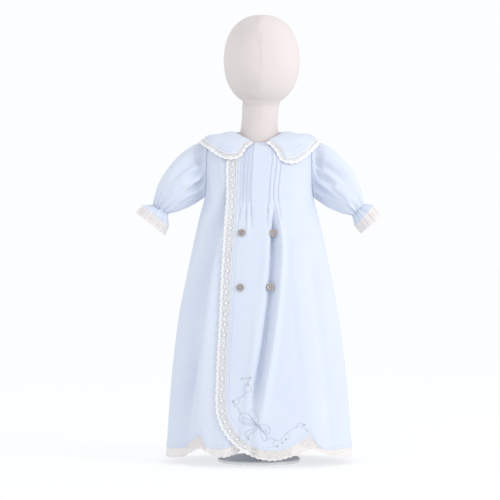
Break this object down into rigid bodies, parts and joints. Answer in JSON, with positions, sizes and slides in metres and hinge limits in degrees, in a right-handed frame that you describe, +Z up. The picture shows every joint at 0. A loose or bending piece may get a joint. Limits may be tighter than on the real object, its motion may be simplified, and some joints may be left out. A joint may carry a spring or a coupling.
{
  "type": "baby gown on a limbless dress form",
  "caption": "Long baby gown with a wide lace-edged collar, wrapped buttoned front, pin tucks, puffed sleeves and scalloped lace hem, worn by a limbless dress form.",
  "frame": {"origin": "centre of the underside of the stand's round base", "axes": "+Z up, -Y towards the gown's front, +X towards the viewer's right when seen from the front"},
  "size_m": [0.3946, 0.2068, 0.7126],
  "materials": {
    "blue_batiste": "plain-woven fine cotton, soft and matt, with pressed and worn-in creases",
    "white_lace": "cotton bobbin-type lace with a scalloped edge, matt",
    "shell_button": "grey-brown shell with a soft pearly gloss",
    "form_jersey": "pale stockinette jersey stretched over the form",
    "stand_enamel": "pale enamelled steel"
  },
  "bodies": {
    "root": {"front_over": "blue_batiste", "front_under": "blue_batiste", "back": "blue_batiste", "sleeve_left": "blue_batiste", "sleeve_right": "blue_batiste", "collar": "blue_batiste", "lace_over": "white_lace", "lace_under": "white_lace", "lace_back": "white_lace", "collar_lace": "white_lace", "cuff_lace_left": "white_lace", "cuff_lace_right": "white_lace", "button_upper_left": "shell_button", "button_upper_right": "shell_button", "button_lower_left": "shell_button", "button_lower_right": "shell_button", "form_body": "form_jersey", "form_pole": "stand_enamel", "form_base": "stand_enamel"}
  },
  "joints": []
}
